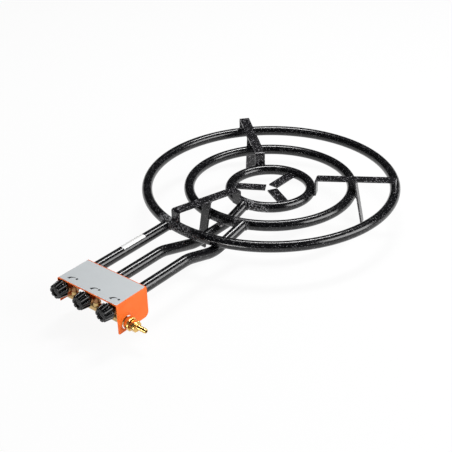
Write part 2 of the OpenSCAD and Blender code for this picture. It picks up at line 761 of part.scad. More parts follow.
// Tapered plug, whose side port comes over the leg's passage as it turns
module valve_plug(i) at_tap(i) color(brass) difference() {
    taper_y(-plug_front, plug_rear, plug_front_d / 2, plug_rear_d / 2);
    flatted_y(-plug_front - overrun, socket_len - plug_front, stem_d / 2 + run_gap, stem_flat);
    along_y(-plug_bore / 2, plug_rear + overrun, plug_bore / 2);
    rotate([0, -90, 0]) cylinder(h = tap_d, d = plug_bore);
}

// Stem with flats for plug and knob and a collar that the bonnet nut keeps in
module valve_stem(i) at_tap(i) color(steel) {
    collar_y = run_gap - collar_front;
    rear_flat_y = collar_y + stem_collar_t;
    end_y = socket_len - plug_front - spring_len();
    flatted_y(run_gap - knob_rear - knob_hole_len, -knob_rear, stem_d / 2, stem_flat);
    along_y(-knob_rear, rear_flat_y, stem_d / 2);
    along_y(collar_y, rear_flat_y, stem_collar_d / 2);
    flatted_y(rear_flat_y, end_y, stem_d / 2, stem_flat);
}

// Length of the spring at rest: the push and the height of its closed coils
function spring_len() = push + 4 * spring_wire;

// Spring behind the stem, in the plug's socket
module valve_spring(i) at_tap(i) color(steel) difference() {
    from = socket_len - plug_front - spring_len() + run_gap;
    to = socket_len - plug_front - run_gap;
    along_y(from, to, spring_d / 2);
    along_y(from - overrun, to + overrun, spring_d / 2 - spring_wire);
}

// Nut that closes the front of a tap
module bonnet_nut(i) at_tap(i) color(brass) difference() {
    hex_y(-bonnet_front, -tap_front, bonnet_af);
    along_y(-collar_front, overrun - tap_front, collar_d / 2 + fix_gap);
    along_y(-bonnet_front - overrun, -tap_front, stem_d / 2 + run_gap);
}

// Injector in the nose, which blows gas into the mixer bush
module gas_injector(i) at_tap(i) color(brass) difference() {
    hex_end = nose_end + injector_hex_t;
    union() {
        along_y(nose_end - injector_spigot_len, nose_end, injector_d / 2);
        hex_y(nose_end, hex_end, injector_af);
        taper_y(hex_end, hex_end + injector_tip_len, injector_d / 2, injector_d / 4);
    }
    along_y(nose_end - injector_spigot_len - overrun, hex_end, plug_bore / 2);
    along_y(nose_end, hex_end + injector_tip_len + overrun, jet_d / 2);
}

// Mixer bush: threaded on the nose, open to the air, with a spigot in the feed tube
module mixer_bush(i) at_tap(i) color(steel) difference() {
    grip_start = tap_rear + fix_gap;
    spigot_r = tube_bore_r - fix_gap;
    union() {
        along_y(grip_start, tube_end, mixer_d / 2);
        along_y(tube_end - mixer_flange_t, tube_end, tube_r);
        along_y(tube_end, tube_end + mixer_spigot_len, spigot_r);
    }
    along_y(grip_start - overrun, cage_start + overrun, nose_d / 2 + fix_gap);
    along_y(cage_start, tube_end + mixer_spigot_len + overrun,
        min(mixer_d / 2 - mixer_wall, spigot_r - mixer_spigot_wall));
    for (turn = [0, 90]) rotate([0, turn, 0])
        translate([-window_w / 2, cage_start + window_margin, -mixer_d])
            cube([window_w, mixer_cage_len - 2 * window_margin, 2 * mixer_d]);
}

// Lobed and tapered knob with a dished front
module knob(i) at_tap(i) color(plastic) difference() {
    lobe_rear_r = knob_d / 2 - lobe_r;
    lobe_lean = atan((knob_d - knob_front_d) / 2 / knob_len);
    union() {
        taper_y(-knob_front, -knob_rear, knob_front_d / 2 - lobe_r / 2, knob_core_d / 2);
        intersection() {
            along_y(-knob_front, -knob_rear, knob_d);
            for (k = [0:lobe_count - 1]) rotate([0, k * 360 / lobe_count, 0])
                translate([0, -knob_rear, lobe_rear_r]) rotate([lobe_lean, 0, 0])
                    along_y(-2 * knob_len, knob_len, lobe_r);
        }
    }
    flatted_y(-knob_rear - knob_hole_len, overrun - knob_rear, stem_d / 2 + run_gap, stem_flat - run_gap);
    along_y(-knob_front - overrun, dish_depth - knob_front, dish_d / 2);
}

outer_ring();
middle_ring();
inner_ring();
outer_ring_feed();
inner_ring_feed();
middle_ring_feed();
for (i = [0:2]) {
    pan_support(i);
    leg(i);
    fin(i);
}
control_cover();
cover_label();
tube_sticker();
gas_manifold();
manifold_end_plug();
cover_screw();
cover_washer();
inlet_adapter();
nozzle_seal();
hose_nozzle();
for (i = [0:2]) {
    valve_body(i);
    valve_plug(i);
    valve_stem(i);
    valve_spring(i);
    bonnet_nut(i);
    gas_injector(i);
    mixer_bush(i);
    knob(i);
}
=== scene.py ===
"""Paella burner: finishes, knobs, turned fittings, welds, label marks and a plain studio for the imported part."""

from __future__ import annotations

import logging
import math
from dataclasses import dataclass, replace
from enum import Enum
from functools import partial, reduce
from typing import Any, Callable, Sequence

import bmesh
import bpy
from mathutils import Matrix, Vector

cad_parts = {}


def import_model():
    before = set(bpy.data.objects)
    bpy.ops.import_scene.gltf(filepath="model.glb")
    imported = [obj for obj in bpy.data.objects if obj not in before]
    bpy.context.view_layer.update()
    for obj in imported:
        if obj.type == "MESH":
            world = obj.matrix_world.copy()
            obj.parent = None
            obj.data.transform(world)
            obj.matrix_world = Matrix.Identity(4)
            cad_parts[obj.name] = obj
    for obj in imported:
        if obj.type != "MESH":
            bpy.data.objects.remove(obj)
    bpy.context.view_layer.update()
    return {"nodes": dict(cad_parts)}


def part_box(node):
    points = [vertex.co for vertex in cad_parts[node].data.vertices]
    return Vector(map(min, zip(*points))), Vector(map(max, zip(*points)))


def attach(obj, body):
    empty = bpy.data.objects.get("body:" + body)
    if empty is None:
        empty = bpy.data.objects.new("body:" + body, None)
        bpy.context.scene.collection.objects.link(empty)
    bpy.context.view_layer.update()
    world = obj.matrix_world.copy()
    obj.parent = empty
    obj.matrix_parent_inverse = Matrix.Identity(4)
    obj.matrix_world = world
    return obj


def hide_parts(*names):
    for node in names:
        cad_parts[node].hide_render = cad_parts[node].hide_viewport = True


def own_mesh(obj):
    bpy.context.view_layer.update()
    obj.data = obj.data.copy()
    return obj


LOG = logging.getLogger("burner")
MM = 0.001
SAME_POINT = 1e-7
SHARP_ANGLE = 32.0
Material = bpy.types.Material
Triple = tuple[float, float, float]
Colour = Triple
Station = Triple
Profile = list[tuple[float, Callable[[float], float]]]


class Axis(Enum):
    """Direction that a turned piece lies along."""

    X = (1.0, 0.0, 0.0)
    Y = (0.0, 1.0, 0.0)


class Side(Enum):
    """One of the three taps, by the x of its axis in metres."""

    LEFT = -0.066
    CENTRE = 0.0
    RIGHT = 0.066

    @property
    def word(self) -> str:
        """Lower-case word that the part's nodes and bodies start with."""
        return self.name.lower()


# Node trees


def add_node(tree: bpy.types.NodeTree, kind: str, sockets: dict[Any, Any], **settings: Any) -> Any:
    """Adds a node to a shader or geometry tree.

    Args:
        tree: The tree.
        kind: The node's type.
        sockets: Values, or sockets to link, for its inputs by name or index.
        settings: Its properties, set first.

    Returns:
        The node.
    """
    made = tree.nodes.new(kind)
    for key, value in settings.items():
        setattr(made, key, value)
    for key, value in sockets.items():
        if isinstance(value, bpy.types.NodeSocket):
            tree.links.new(value, made.inputs[key])
        else:
            made.inputs[key].default_value = value
    return made


class Wire:
    """A socket of a shader tree on which Python's arithmetic adds Math nodes."""

    def __init__(self, shader: Shader, socket: bpy.types.NodeSocket) -> None:
        """Keeps the socket and the shader that it belongs to."""
        self.shader = shader
        self.socket = socket

    def _math(self, operation: str, first: Any, second: Any, clamp: bool = False) -> Wire:
        """Result of a new Math node with wires or numbers for its two inputs."""
        node = self.shader.node("ShaderNodeMath", {0: first, 1: second}, operation=operation, use_clamp=clamp)
        return self.shader.out(node)

    def __add__(self, other: Any) -> Wire:
        """Sum."""
        return self._math("ADD", self, other)

    def __sub__(self, other: Any) -> Wire:
        """Difference."""
        return self._math("SUBTRACT", self, other)

    def __rsub__(self, other: Any) -> Wire:
        """Difference from a number."""
        return self._math("SUBTRACT", other, self)

    def __mul__(self, other: Any) -> Wire:
        """Product."""
        return self._math("MULTIPLY", self, other)

    def clamp(self) -> Wire:
        """Value held between 0 and 1."""
        return self._math("ADD", self, 0.0, True)

    def larger(self, other: Any) -> Wire:
        """Larger of two values."""
        return self._math("MAXIMUM", self, other)


class Shader:
    """One material whose nodes are made by method calls."""

    speck_edge: float = 16.0

    def __init__(self, name: str) -> None:
        """Starts an empty tree that reads Object coordinates.

        Args:
            name: The material's name.
        """
        self.material = bpy.data.materials.new(name)
        self.material.use_nodes = True
        self.tree = self.material.node_tree
        self.tree.nodes.clear()
        self.place = self.out(self.node("ShaderNodeTexCoord"), "Object")

    def node(self, kind: str, sockets: dict[Any, Any] | None = None, **settings: Any) -> Any:
        """Adds a node with values or wires for its inputs, and with its properties."""
        given = {key: value.socket if isinstance(value, Wire) else value for key, value in (sockets or {}).items()}
        return add_node(self.tree, kind, given, **settings)

    def out(self, node: Any, socket: str | int = 0) -> Wire:
        """Wire from one of a node's outputs."""
        return Wire(self, node.outputs[socket])

    def stretched(self, scale: Sequence[float]) -> Wire:
        """Object coordinates scaled apart along each axis."""
        return self.out(self.node("ShaderNodeMapping", {"Vector": self.place, "Scale": tuple(scale)}))

    def noise(self, size: float, detail: float = 2.0, where: Wire | None = None) -> Wire:
        """Soft noise from 0 to 1, with patches of a size in metres, or in the units of the coordinates given."""
        sockets = {"Vector": where or self.place, "Scale": 1.0 / size, "Detail": detail}
        return self.out(self.node("ShaderNodeTexNoise", sockets))

    def cells(self, size: float, reach: float) -> Wire:
        """Round specks of mixed sizes.

        Args:
            size: Spacing of the specks in metres.
            reach: Radius of the largest speck as a share of the spacing.

        Returns:
            1 inside a speck and 0 outside.
        """
        voronoi = self.node("ShaderNodeTexVoronoi", {"Vector": self.place, "Scale": 1.0 / size}, feature="F1")
        draw = self.out(self.node("ShaderNodeSeparateColor", {0: self.out(voronoi, "Color")}))
        return ((draw * draw * reach - self.out(voronoi, "Distance")) * self.speck_edge).clamp()

    def distance(self, point: Sequence[float]) -> Wire:
        """Distance of the surface from a point, in metres."""
        sockets = {0: self.place, 1: tuple(point)}
        return self.out(self.node("ShaderNodeVectorMath", sockets, operation="DISTANCE"), "Value")

    def step(self, value: Wire, low: float, high: float) -> Wire:
        """Smooth step from 0 at low to 1 at high."""
        sockets = {"Value": value, "From Min": low, "From Max": high}
        return self.out(self.node("ShaderNodeMapRange", sockets, interpolation_type="SMOOTHSTEP"))

    def mix(self, share: Wire, first: Any, second: Any) -> Wire:
        """Colour mix, with a share of 0 for the first colour or wire and 1 for the second."""
        full = [v if isinstance(v, Wire) else (*v, 1.0) for v in (first, second)]
        return self.out(self.node("ShaderNodeMix", {0: share, 6: full[0], 7: full[1]}, data_type="RGBA"), 2)

    def relief(self, height: Wire) -> Wire:
        """Normal bent by a height in metres."""
        return self.out(self.node("ShaderNodeBump", {"Height": height, "Distance": 1.0}))

    def surface(self, sockets: dict[str, Any]) -> Material:
        """Ends the tree in a Principled shader with these values or wires, and gives the finished material."""
        self.node("ShaderNodeOutputMaterial", {"Surface": self.out(self.node("ShaderNodeBsdfPrincipled", sockets))})
        return self.material


# Finishes


def scaled(colour: Colour, gain: float) -> Colour:
    """Colour made lighter by a gain, up to white."""
    red, green, blue = (min(1.0, gain * c) for c in colour)
    return red, green, blue


@dataclass(frozen=True)
class Layer:
    """One noise of a finish: its strength, the size of its patches, and how it is cut or stretched."""

    amount: float
    cell: float = 1.0
    detail: float = 2.0
    edges: tuple[float, float] | None = None
    scale: tuple[float, ...] | None = None

    def times(self, amount: float) -> Layer:
        """Same noise at another strength."""
        return replace(self, amount=amount)

    def on(self, s: Shader) -> Wire:
        """Adds the noise to a shader."""
        value = s.noise(self.cell, self.detail, s.stretched(self.scale) if self.scale else None)
        return (s.step(value, *self.edges) if self.edges else value) * self.amount


@dataclass(frozen=True)
class Coat:
    """Paint, plastic, film, fibre, ink or metal, with a clouded tone, an uneven sheen and a fine relief."""

    name: str
    colour: Colour
    second: Colour
    gloss: float
    clouds: tuple[Layer, ...]
    sheen: tuple[Layer, ...]
    skin: tuple[Layer, ...]
    metal: float = 0.0
    ior: float = 1.5

    def build(self) -> Material:
        """Makes the material.

        Returns:
            The material.
        """
        s = Shader(self.name)
        clouds, sheen, skin = (reduce(Wire.__add__, [layer.on(s) for layer in layers])
                               for layers in (self.clouds, self.sheen, self.skin))
        return s.surface({"Base Color": s.mix(clouds, self.colour, self.second), "Roughness": sheen + self.gloss,
                          "Normal": s.relief(skin), "Metallic": self.metal, "IOR": self.ior})


@dataclass(frozen=True)
class Enamel:
    """Black enamel with pale flecks, and with a pale crust at burnt spots, each a place and its reach."""

    name: str
    ground: Colour = (0.0018, 0.0018, 0.0023)
    fleck: Colour = (0.16, 0.16, 0.17)
    pale: Colour = (0.55, 0.55, 0.57)
    fleck_cell: float = 2.6 * MM
    fleck_reach: float = 0.42
    fleck_rough: float = 0.03
    fleck_rise: float = 0.001 * MM
    dust_cell: float = 1.3 * MM
    dust_reach: float = 0.34
    dust_share: float = 0.45
    cloud: float = 30 * MM
    cloud_gain: float = 1.9
    gloss: float = 0.19
    sheen: float = 0.06
    sheen_cell: float = 9 * MM
    ripple: float = 0.14 * MM
    ripple_cell: float = 24 * MM
    spatter: float = 0.002 * MM
    spatter_cell: float = 2.2 * MM
    crust_cell: float = 1.8 * MM
    crust_reach: float = 0.95
    crust_rough: float = 0.2
    crust_rise: float = 0.02 * MM
    fray: float = 6 * MM
    fray_cell: float = 7 * MM
    ior: float = 1.5
    burnt: tuple[tuple[float, float, float, float], ...] = ()

    def heat(self, s: Shader) -> Wire:
        """Share of burning, from 0 on plain enamel to 1 beside a weld, with a frayed edge."""
        fray = (s.noise(self.fray_cell) * 2.0 - 1.0) * self.fray
        return reduce(Wire.larger, [1.0 - s.step(s.distance(spot) + fray, r / 2, r) for *spot, r in self.burnt])

    def build(self) -> Material:
        """Makes the material.

        Returns:
            The material.
        """
        s = Shader(self.name)
        dust = s.cells(self.dust_cell, self.dust_reach) * self.dust_share
        flecks = s.cells(self.fleck_cell, self.fleck_reach).larger(dust)
        tone = s.mix(s.noise(self.cloud), self.ground, scaled(self.ground, self.cloud_gain))
        tone = s.mix(flecks, tone, self.fleck)
        rough = s.noise(self.sheen_cell) * self.sheen + flecks * self.fleck_rough + self.gloss - self.sheen / 2
        height = s.noise(self.ripple_cell, 1.0) * self.ripple + s.noise(self.spatter_cell) * self.spatter
        height = height + flecks * self.fleck_rise
        if self.burnt:
            heat = self.heat(s)
            crust = s.cells(self.crust_cell, self.crust_reach) * heat
            tone = s.mix(crust, tone, self.pale)
            rough = rough + (heat + crust) * self.crust_rough
            height = height + crust * self.crust_rise
        return s.surface({"Base Color": tone, "Roughness": rough, "Normal": s.relief(height), "IOR": self.ior})


@dataclass(frozen=True)
class TurnedMetal:
    """Metal turned on a lathe, with fine rings across its axis and a dull tarnish."""

    name: str
    axis: Axis
    colour: Colour
    dull: Colour
    gloss: float
    tarnish: Layer = Layer(0.6, 7 * MM, 4.0, (0.42, 0.78))
    rings: Layer = Layer(0.12, detail=3.0)
    fine: float = 2600.0
    coarse: float = 25.0
    tarnish_rough: float = 0.14
    ring_depth: float = 0.006 * MM

    def build(self) -> Material:
        """Makes the material."""
        rings = replace(self.rings, scale=tuple(self.fine if part else self.coarse for part in self.axis.value))
        return Coat(self.name, self.colour, self.dull, self.gloss, clouds=(self.tarnish,), metal=1.0,
                    sheen=(rings, self.tarnish.times(self.tarnish_rough)),
                    skin=(rings.times(self.ring_depth),)).build()


@dataclass(frozen=True)
class Film:
    """Foil or plastic film laid on another piece, brushed along it by a share."""

    name: str
    colour: Colour
    metal: float
    gloss: float
    brushed: float
    clouds: Layer = Layer(0.7, 18 * MM)
    waves: Layer = Layer(0.06 * MM, 11 * MM, 1.0)
    streaks: Layer = Layer(0.1, scale=(40.0, 2200.0, 2200.0))
    streak_depth: float = 0.004 * MM
    pale_gain: float = 1.07

    def build(self) -> Material:
        """Makes the material."""
        return Coat(self.name, self.colour, scaled(self.colour, self.pale_gain), self.gloss, metal=self.metal,
                    clouds=(self.clouds, self.streaks.times(self.brushed)), sheen=(self.streaks,),
                    skin=(self.waves, self.streaks.times(self.brushed * self.streak_depth))).build()


@dataclass(frozen=True)
class Matt:
    """Dull fibre or ink with a mottled tone, and with grain of a depth in metres."""

    name: str
    colour: Colour
    gloss: float
    grain: float
    mottle: Layer = Layer(1.0, 0.8 * MM, 4.0)
    mottle_rough: float = 0.15
    pale_gain: float = 1.8

    def build(self) -> Material:
        """Makes the material."""
        return Coat(self.name, self.colour, scaled(self.colour, self.pale_gain), self.gloss, clouds=(self.mottle,),
                    sheen=(self.mottle.times(self.mottle_rough),), skin=(self.mottle.times(self.grain),)).build()


class Finishes:
    """Every material of the burner, made once."""

    def __init__(self) -> None:
        """Builds the materials."""
        gold, brown = (0.80, 0.52, 0.17), (0.42, 0.22, 0.06)
        grey, dark = (0.60, 0.61, 0.62), (0.42, 0.42, 0.42)
        # Darker, redder brass for the valve bodies, plugs, injectors and bonnet nuts inside the cover: painted
        # shade, with painted orange bounce light from the cover.
        brass_in_shade, tarnish_in_shade = (0.33, 0.17, 0.08), (0.19, 0.09, 0.04)
        # Darker brass for the manifold and its end plug inside the cover: painted shade.
        shaded, shaded_tarnish = (0.52, 0.36, 0.16), (0.26, 0.14, 0.05)
        burnt = (
            (-0.066, -0.136, 0.074, 0.040), (-0.036, -0.145, 0.070, 0.036), (-0.006, -0.150, 0.066, 0.036),
            (0.026, -0.150, 0.064, 0.030), (0.055, -0.146, 0.062, 0.026), (0.014, 0.054, 0.060, 0.034),
            (0.042, 0.062, 0.056, 0.030), (0.062, -0.036, 0.068, 0.028), (0.006, -0.046, 0.060, 0.026))
        self.tube = Enamel("tube_enamel").build()
        self.ring = Enamel("ring_enamel", burnt=burnt).build()
        self.bar = Enamel("bar_enamel", (0.004, 0.0037, 0.0046), (0.26, 0.255, 0.27), fleck_cell=3.0 * MM,
                          fleck_reach=0.6, gloss=0.24, ripple=0.04 * MM, spatter=0.01 * MM).build()
        self.weld = Enamel("weld_enamel", (0.02, 0.02, 0.022), (0.42, 0.42, 0.43), fleck_cell=2.2 * MM, gloss=0.2,
                           spatter=0.08 * MM).build()
        # Pale grey on the crossing welds is painted light: it makes the piles under the ring read bright where they
        # sit in shade.
        self.slag = Enamel("crossing_weld_painted_lit", (0.36, 0.36, 0.365), (0.85, 0.85, 0.86), gloss=0.3,
                           spatter=0.1 * MM).build()
        scuff = Layer(1.0, 6 * MM, 5.0, (0.58, 0.8))
        jet, orange = (0.005, 0.005, 0.0055), (0.90, 0.165, 0.022)
        self.paint = Coat("orange_powder_coat", orange, (0.846, 0.1452, 0.0176), 0.40,
                          clouds=(Layer(1.0, 35 * MM, edges=(0.3, 0.7)),), sheen=(Layer(0.12, 5 * MM),),
                          skin=(Layer(0.012 * MM, 0.9 * MM), Layer(0.05 * MM, 14 * MM, 1.0)), ior=1.32).build()
        self.plastic = Coat("knob_plastic", jet, scaled(jet, 2.2), 0.1, clouds=(scuff,),
                            sheen=(Layer(0.05, 1.2 * MM), scuff.times(0.1)),
                            skin=(Layer(0.006 * MM, 0.5 * MM), Layer(0.03 * MM, 5 * MM)), ior=1.36).build()
        self.brass_across = TurnedMetal("brass_turned_across", Axis.X, gold, brown, 0.15).build()
        self.brass_along = TurnedMetal("brass_turned_along_painted_shade", Axis.Y, brass_in_shade, tarnish_in_shade, 0.27).build()
        self.brass_inside = TurnedMetal("brass_manifold_painted_shade", Axis.X, shaded, shaded_tarnish, 0.25).build()
        self.zinc_across = TurnedMetal("zinc_turned_across", Axis.X, grey, dark, 0.25).build()
        self.zinc_along = TurnedMetal("zinc_turned_along", Axis.Y, grey, dark, 0.25).build()
        self.foil = Film("label_foil", (0.61, 0.64, 0.655), 0.1, 0.42, 0.5).build()
        self.film = Film("sticker_film", (0.88, 0.88, 0.87), 0.0, 0.3, 0.0).build()
        self.fibre = Matt("seal_fibre", (0.16, 0.06, 0.045), 0.7, 0.05 * MM).build()
        self.ink = Matt("label_ink", (0.012, 0.012, 0.014), 0.4, 0.01 * MM).build()


# Mesh making


def joined(name: str, points: Sequence[Vector], faces: Sequence[Sequence[int]], finish: Material,
           sharp: float | None = None) -> Any:
    """Makes a smooth object of points and faces, with its normals turned outwards.

    Args:
        name: The object's name.
        points: Corners in metres.
        faces: Corner numbers of each face.
        finish: Material of the whole object.
        sharp: Angle in degrees between faces above which an edge is sharp, or None.

    Returns:
        The object.
    """
    mesh = bpy.data.meshes.new(name)
    mesh.from_pydata([tuple(p) for p in points], [], [tuple(f) for f in faces])
    work = bmesh.new()
    work.from_mesh(mesh)
    bmesh.ops.remove_doubles(work, verts=work.verts, dist=SAME_POINT)
    bmesh.ops.recalc_face_normals(work, faces=work.faces)
    work.to_mesh(mesh)
    work.free()
    mesh.materials.append(finish)
    mesh.shade_smooth()
    if sharp:
        mesh.set_sharp_from_angle(angle=math.radians(sharp))
    made = bpy.data.objects.new(name, mesh)
    bpy.context.scene.collection.objects.link(made)
    return made


def bands(loops: Sequence[Sequence[int]]) -> list[list[int]]:
    """Makes faces between neighbouring loops of corners, where a loop of one corner closes an end.

    Args:
        loops: Corner numbers of each loop.

    Returns:
        Corner numbers of each face.
    """
    faces = []
    for first, second in zip(loops, loops[1:]):
        count = max(len(first), len(second))
        for k in range(count):
            n = (k + 1) % count
            face = [first[k % len(first)], first[n % len(first)], second[n % len(second)], second[k % len(second)]]
            faces.append(list(dict.fromkeys(face)))
    return faces


def hexed(turn: float, reach: float, flats: float) -> float:
    """Smaller of a round shape's and a hexagon's radius at a turn in radians, where flats of 0 are round."""
    side = (turn + math.pi / 6) % (math.pi / 3) - math.pi / 6
    return min(reach, flats / 2 / math.cos(side)) if flats else reach


@dataclass
class Turning:
    """Piece made about an axis, whose profile has distances along it, each with a radius by turn.

    A radius of 0 closes an end, and a looped profile joins its last distance to its first.
    """

    name: str
    axis: Axis
    place: Vector
    profile: Profile
    segments: int
    looped: bool = False
    sharp: float = SHARP_ANGLE

    def build(self, finish: Material) -> Any:
        """Makes the piece.

        Args:
            finish: Its material.

        Returns:
            The object.
        """
        along, out = Vector(self.axis.value), Vector((0.0, 0.0, 1.0))
        across = along.cross(out)
        points: list[Vector] = []
        loops: list[list[int]] = []
        for distance, radius in self.profile:
            count = self.segments if radius(0.0) > 0 else 1
            loops.append(list(range(len(points), len(points) + count)))
            for k in range(count):
                turn = math.tau * k / self.segments
                arm = out * math.cos(turn) + across * math.sin(turn)
                points.append(self.place + along * distance + arm * radius(turn))
        faces = bands(loops + loops[:1] if self.looped else loops)
        return joined(self.name, points, faces, finish, self.sharp)


# Welds


@dataclass
class Welder:
    """Geometry Nodes that lay overlapping ripples of weld along paths."""

    name: str = "weld_ripples"
    segments: int = 9
    rings: int = 6
    least: Triple = (0.82, 0.82, 0.62)
    most: Triple = (1.15, 1.15, 0.85)
    pitch_share: float = 0.85

    def __post_init__(self) -> None:
        """Makes the tree, with named inputs for its sizes."""
        self.tree = tree = bpy.data.node_groups.new(self.name, "GeometryNodeTree")
        for label, kind in (("Path", "Geometry"), ("Bead Radius", "Float"), ("Pitch", "Float"), ("Seed", "Int"),
                            ("Finish", "Material")):
            tree.interface.new_socket(label, in_out="INPUT", socket_type="NodeSocket" + kind)
        tree.interface.new_socket("Welds", in_out="OUTPUT", socket_type="NodeSocketGeometry")
        node = partial(add_node, tree)
        given = node("NodeGroupInput", {}).outputs
        path = node("GeometryNodeMeshToCurve", {"Mesh": given["Path"]}).outputs[0]
        spaced = node("GeometryNodeResampleCurve", {"Curve": path, "Length": given["Pitch"]}, mode="LENGTH")
        ripple = node("GeometryNodeMeshUVSphere", {
            "Segments": self.segments, "Rings": self.rings, "Radius": given["Bead Radius"]})
        tangent = node("GeometryNodeInputTangent", {}).outputs[0]
        heading = node("FunctionNodeAlignRotationToVector", {"Vector": tangent})
        draw = node("FunctionNodeRandomValue", {0: self.least, 1: self.most, "Seed": given["Seed"]},
                    data_type="FLOAT_VECTOR")
        laid = node("GeometryNodeInstanceOnPoints", {
            "Points": spaced.outputs[0], "Instance": ripple.outputs[0], "Rotation": heading.outputs[0],
            "Scale": draw.outputs[0]})
        real = node("GeometryNodeRealizeInstances", {0: laid.outputs[0]})
        smooth = node("GeometryNodeSetShadeSmooth", {0: real.outputs[0]})
        dressed = node("GeometryNodeSetMaterial", {"Geometry": smooth.outputs[0], "Material": given["Finish"]})
        node("NodeGroupOutput", {0: dressed.outputs[0]})

    def lay(self, name: str, paths: Sequence[Sequence[Vector]], bead: float, seed: int, finish: Material) -> Any:
        """Lays welds along paths and turns them into a plain mesh.

        Args:
            name: The new object's name.
            paths: Points of each path; a path that ends where it starts is closed.
            bead: Radius of a ripple.
            seed: Seed of the ripples' sizes.
            finish: Material of the welds.

        Returns:
            The object.
        """
        points: list[Vector] = []
        edges: list[tuple[int, int]] = []
        for path in paths:
            start = len(points)
            points.extend(path)
            edges.extend((start + k, start + k + 1) for k in range(len(path) - 1))
        guide_mesh = bpy.data.meshes.new(name + "_guide")
        guide_mesh.from_pydata([tuple(p) for p in points], edges, [])
        guide = bpy.data.objects.new(name + "_guide", guide_mesh)
        bpy.context.scene.collection.objects.link(guide)
        modifier = guide.modifiers.new("weld", "NODES")
        modifier.node_group = self.tree
        values = {"Bead Radius": bead, "Pitch": bead * self.pitch_share, "Seed": seed, "Finish": finish}
        for item in self.tree.interface.items_tree:
            if item.in_out == "INPUT" and item.name in values:
                modifier[item.identifier] = values[item.name]
        bpy.context.view_layer.update()
        solid = bpy.data.meshes.new_from_object(guide.evaluated_get(bpy.context.evaluated_depsgraph_get()))
        solid.name = name
        guide.modifiers.clear()
        bpy.data.objects.remove(guide)
        bpy.data.meshes.remove(guide_mesh)
        made = bpy.data.objects.new(name, solid)
        bpy.context.scene.collection.objects.link(made)
        return made


# Sub-assemblies


@dataclass(frozen=True)
class Ring:
    """Centreline of one ring burner, in metres."""

    reach: float
    height: float


@dataclass(frozen=True)
class Layout:
    """Sizes that welds and marks take from the part, in metres."""

    axis_y: float = 163.75 * MM
    tube_r: float = 12.5 * MM
    outer: Ring = Ring(300 * MM, 82 * MM)
    middle: Ring = Ring(198 * MM, 75 * MM)
    inner: Ring = Ring(98 * MM, 66.6 * MM)
    bar_w: float = 25 * MM
    bar_t: float = 4 * MM
    under_reach: float = 116.6 * MM
    under_z: float = 103.8 * MM
    bar_fall: float = 4.97
    feed_z: float = 78.2 * MM
    dip_z: float = 47 * MM
    middle_slope: float = 11.0
    inner_slope: float = 16.7
    support_turns: tuple[float, ...] = (-98.0, 24.0, 140.5)
    fin_turns: tuple[float, ...] = (-30.0, 90.0, 210.0)
    leg_splay: float = 11.0
    tap_y: float = -424.25 * MM
    manifold_z: float = 42 * MM

    def inlet(self) -> Vector:
        """Place on the manifold's axis that the inlet and screw are measured from."""
        return Vector((0.0, self.tap_y, self.manifold_z))

    def tap(self, side: Side) -> Vector:
        """Place on a tap's axis that its pieces are measured from."""
        return Vector((side.value, self.tap_y, self.feed_z))

    def at(self, turn: float, reach: float, side: float, height: float) -> Vector:
        """Point at a reach from the rings' axis, turned in degrees from +X, moved to the left and raised."""
        c, s = math.cos(math.radians(turn)), math.sin(math.radians(turn))
        return Vector((reach * c - side * s, reach * s + side * c + self.axis_y, height))


@dataclass
class Assembly:
    """What the sub-assemblies share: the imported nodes, the finishes and how a piece joins a body."""

    nodes: dict[str, Any]
    finishes: Finishes
    layout: Layout = Layout()

    def dress(self, finish: Material, *names: str) -> None:
        """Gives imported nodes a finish.

        Args:
            finish: Their material.
            names: The nodes.
        """
        for name in names:
            for place in self.nodes[name].material_slots:
                place.material = finish
            LOG.info("%s wears %s", name, finish.name)

    def place(self, piece: Any, body: str, slot: str, *replaced: str) -> None:
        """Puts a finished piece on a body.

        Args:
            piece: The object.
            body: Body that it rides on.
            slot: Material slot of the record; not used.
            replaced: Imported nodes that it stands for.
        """
        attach(piece, body)
        if replaced:
            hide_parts(*replaced)
        LOG.info("%s rides on %s", piece.name, body)


